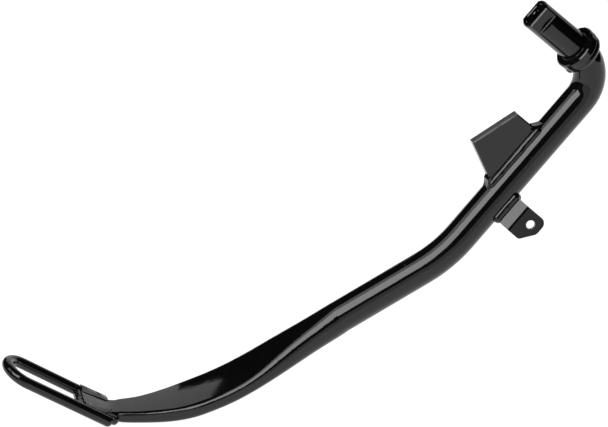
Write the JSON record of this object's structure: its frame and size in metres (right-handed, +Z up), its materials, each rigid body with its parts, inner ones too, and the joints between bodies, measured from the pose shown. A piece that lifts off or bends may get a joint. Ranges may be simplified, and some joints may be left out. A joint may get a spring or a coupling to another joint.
{
  "type": "kickstand",
  "caption": "Motorcycle side-stand leg: pivot pin with flats, thrust collar, elbowed round bar forged to a flat blade, stop plate, spring tab and bent-rod foot loop",
  "frame": {"origin": "centre of the pivot pin on the seating face of the thrust collar", "axes": "stand lowered: +Z up from the ground, foot towards -X, outer side of the motorcycle towards -Y; the lower leg lies in a plane square to Y"},
  "size_m": [0.428, 0.0698, 0.2842],
  "materials": {
    "black_paint": "high gloss black over steel",
    "black_paint_weld": "high gloss black over rippled weld beads"
  },
  "bodies": {
    "root": {"pivot_pin": "black_paint", "thrust_collar": "black_paint", "collar_weld": "black_paint_weld", "collar_tack_weld": "black_paint_weld", "leg_bar": "black_paint", "stop_plate": "black_paint", "stop_plate_near_weld": "black_paint_weld", "stop_plate_far_weld": "black_paint_weld", "stop_plate_upper_weld": "black_paint_weld", "stop_plate_lower_weld": "black_paint_weld", "spring_tab": "black_paint", "spring_tab_front_weld": "black_paint_weld", "spring_tab_back_weld": "black_paint_weld", "foot_loop": "black_paint", "loop_near_weld": "black_paint_weld", "loop_far_weld": "black_paint_weld", "tongue_end_weld": "black_paint_weld", "near_rod_end_weld": "black_paint_weld", "far_rod_end_weld": "black_paint_weld"}
  },
  "joints": []
}
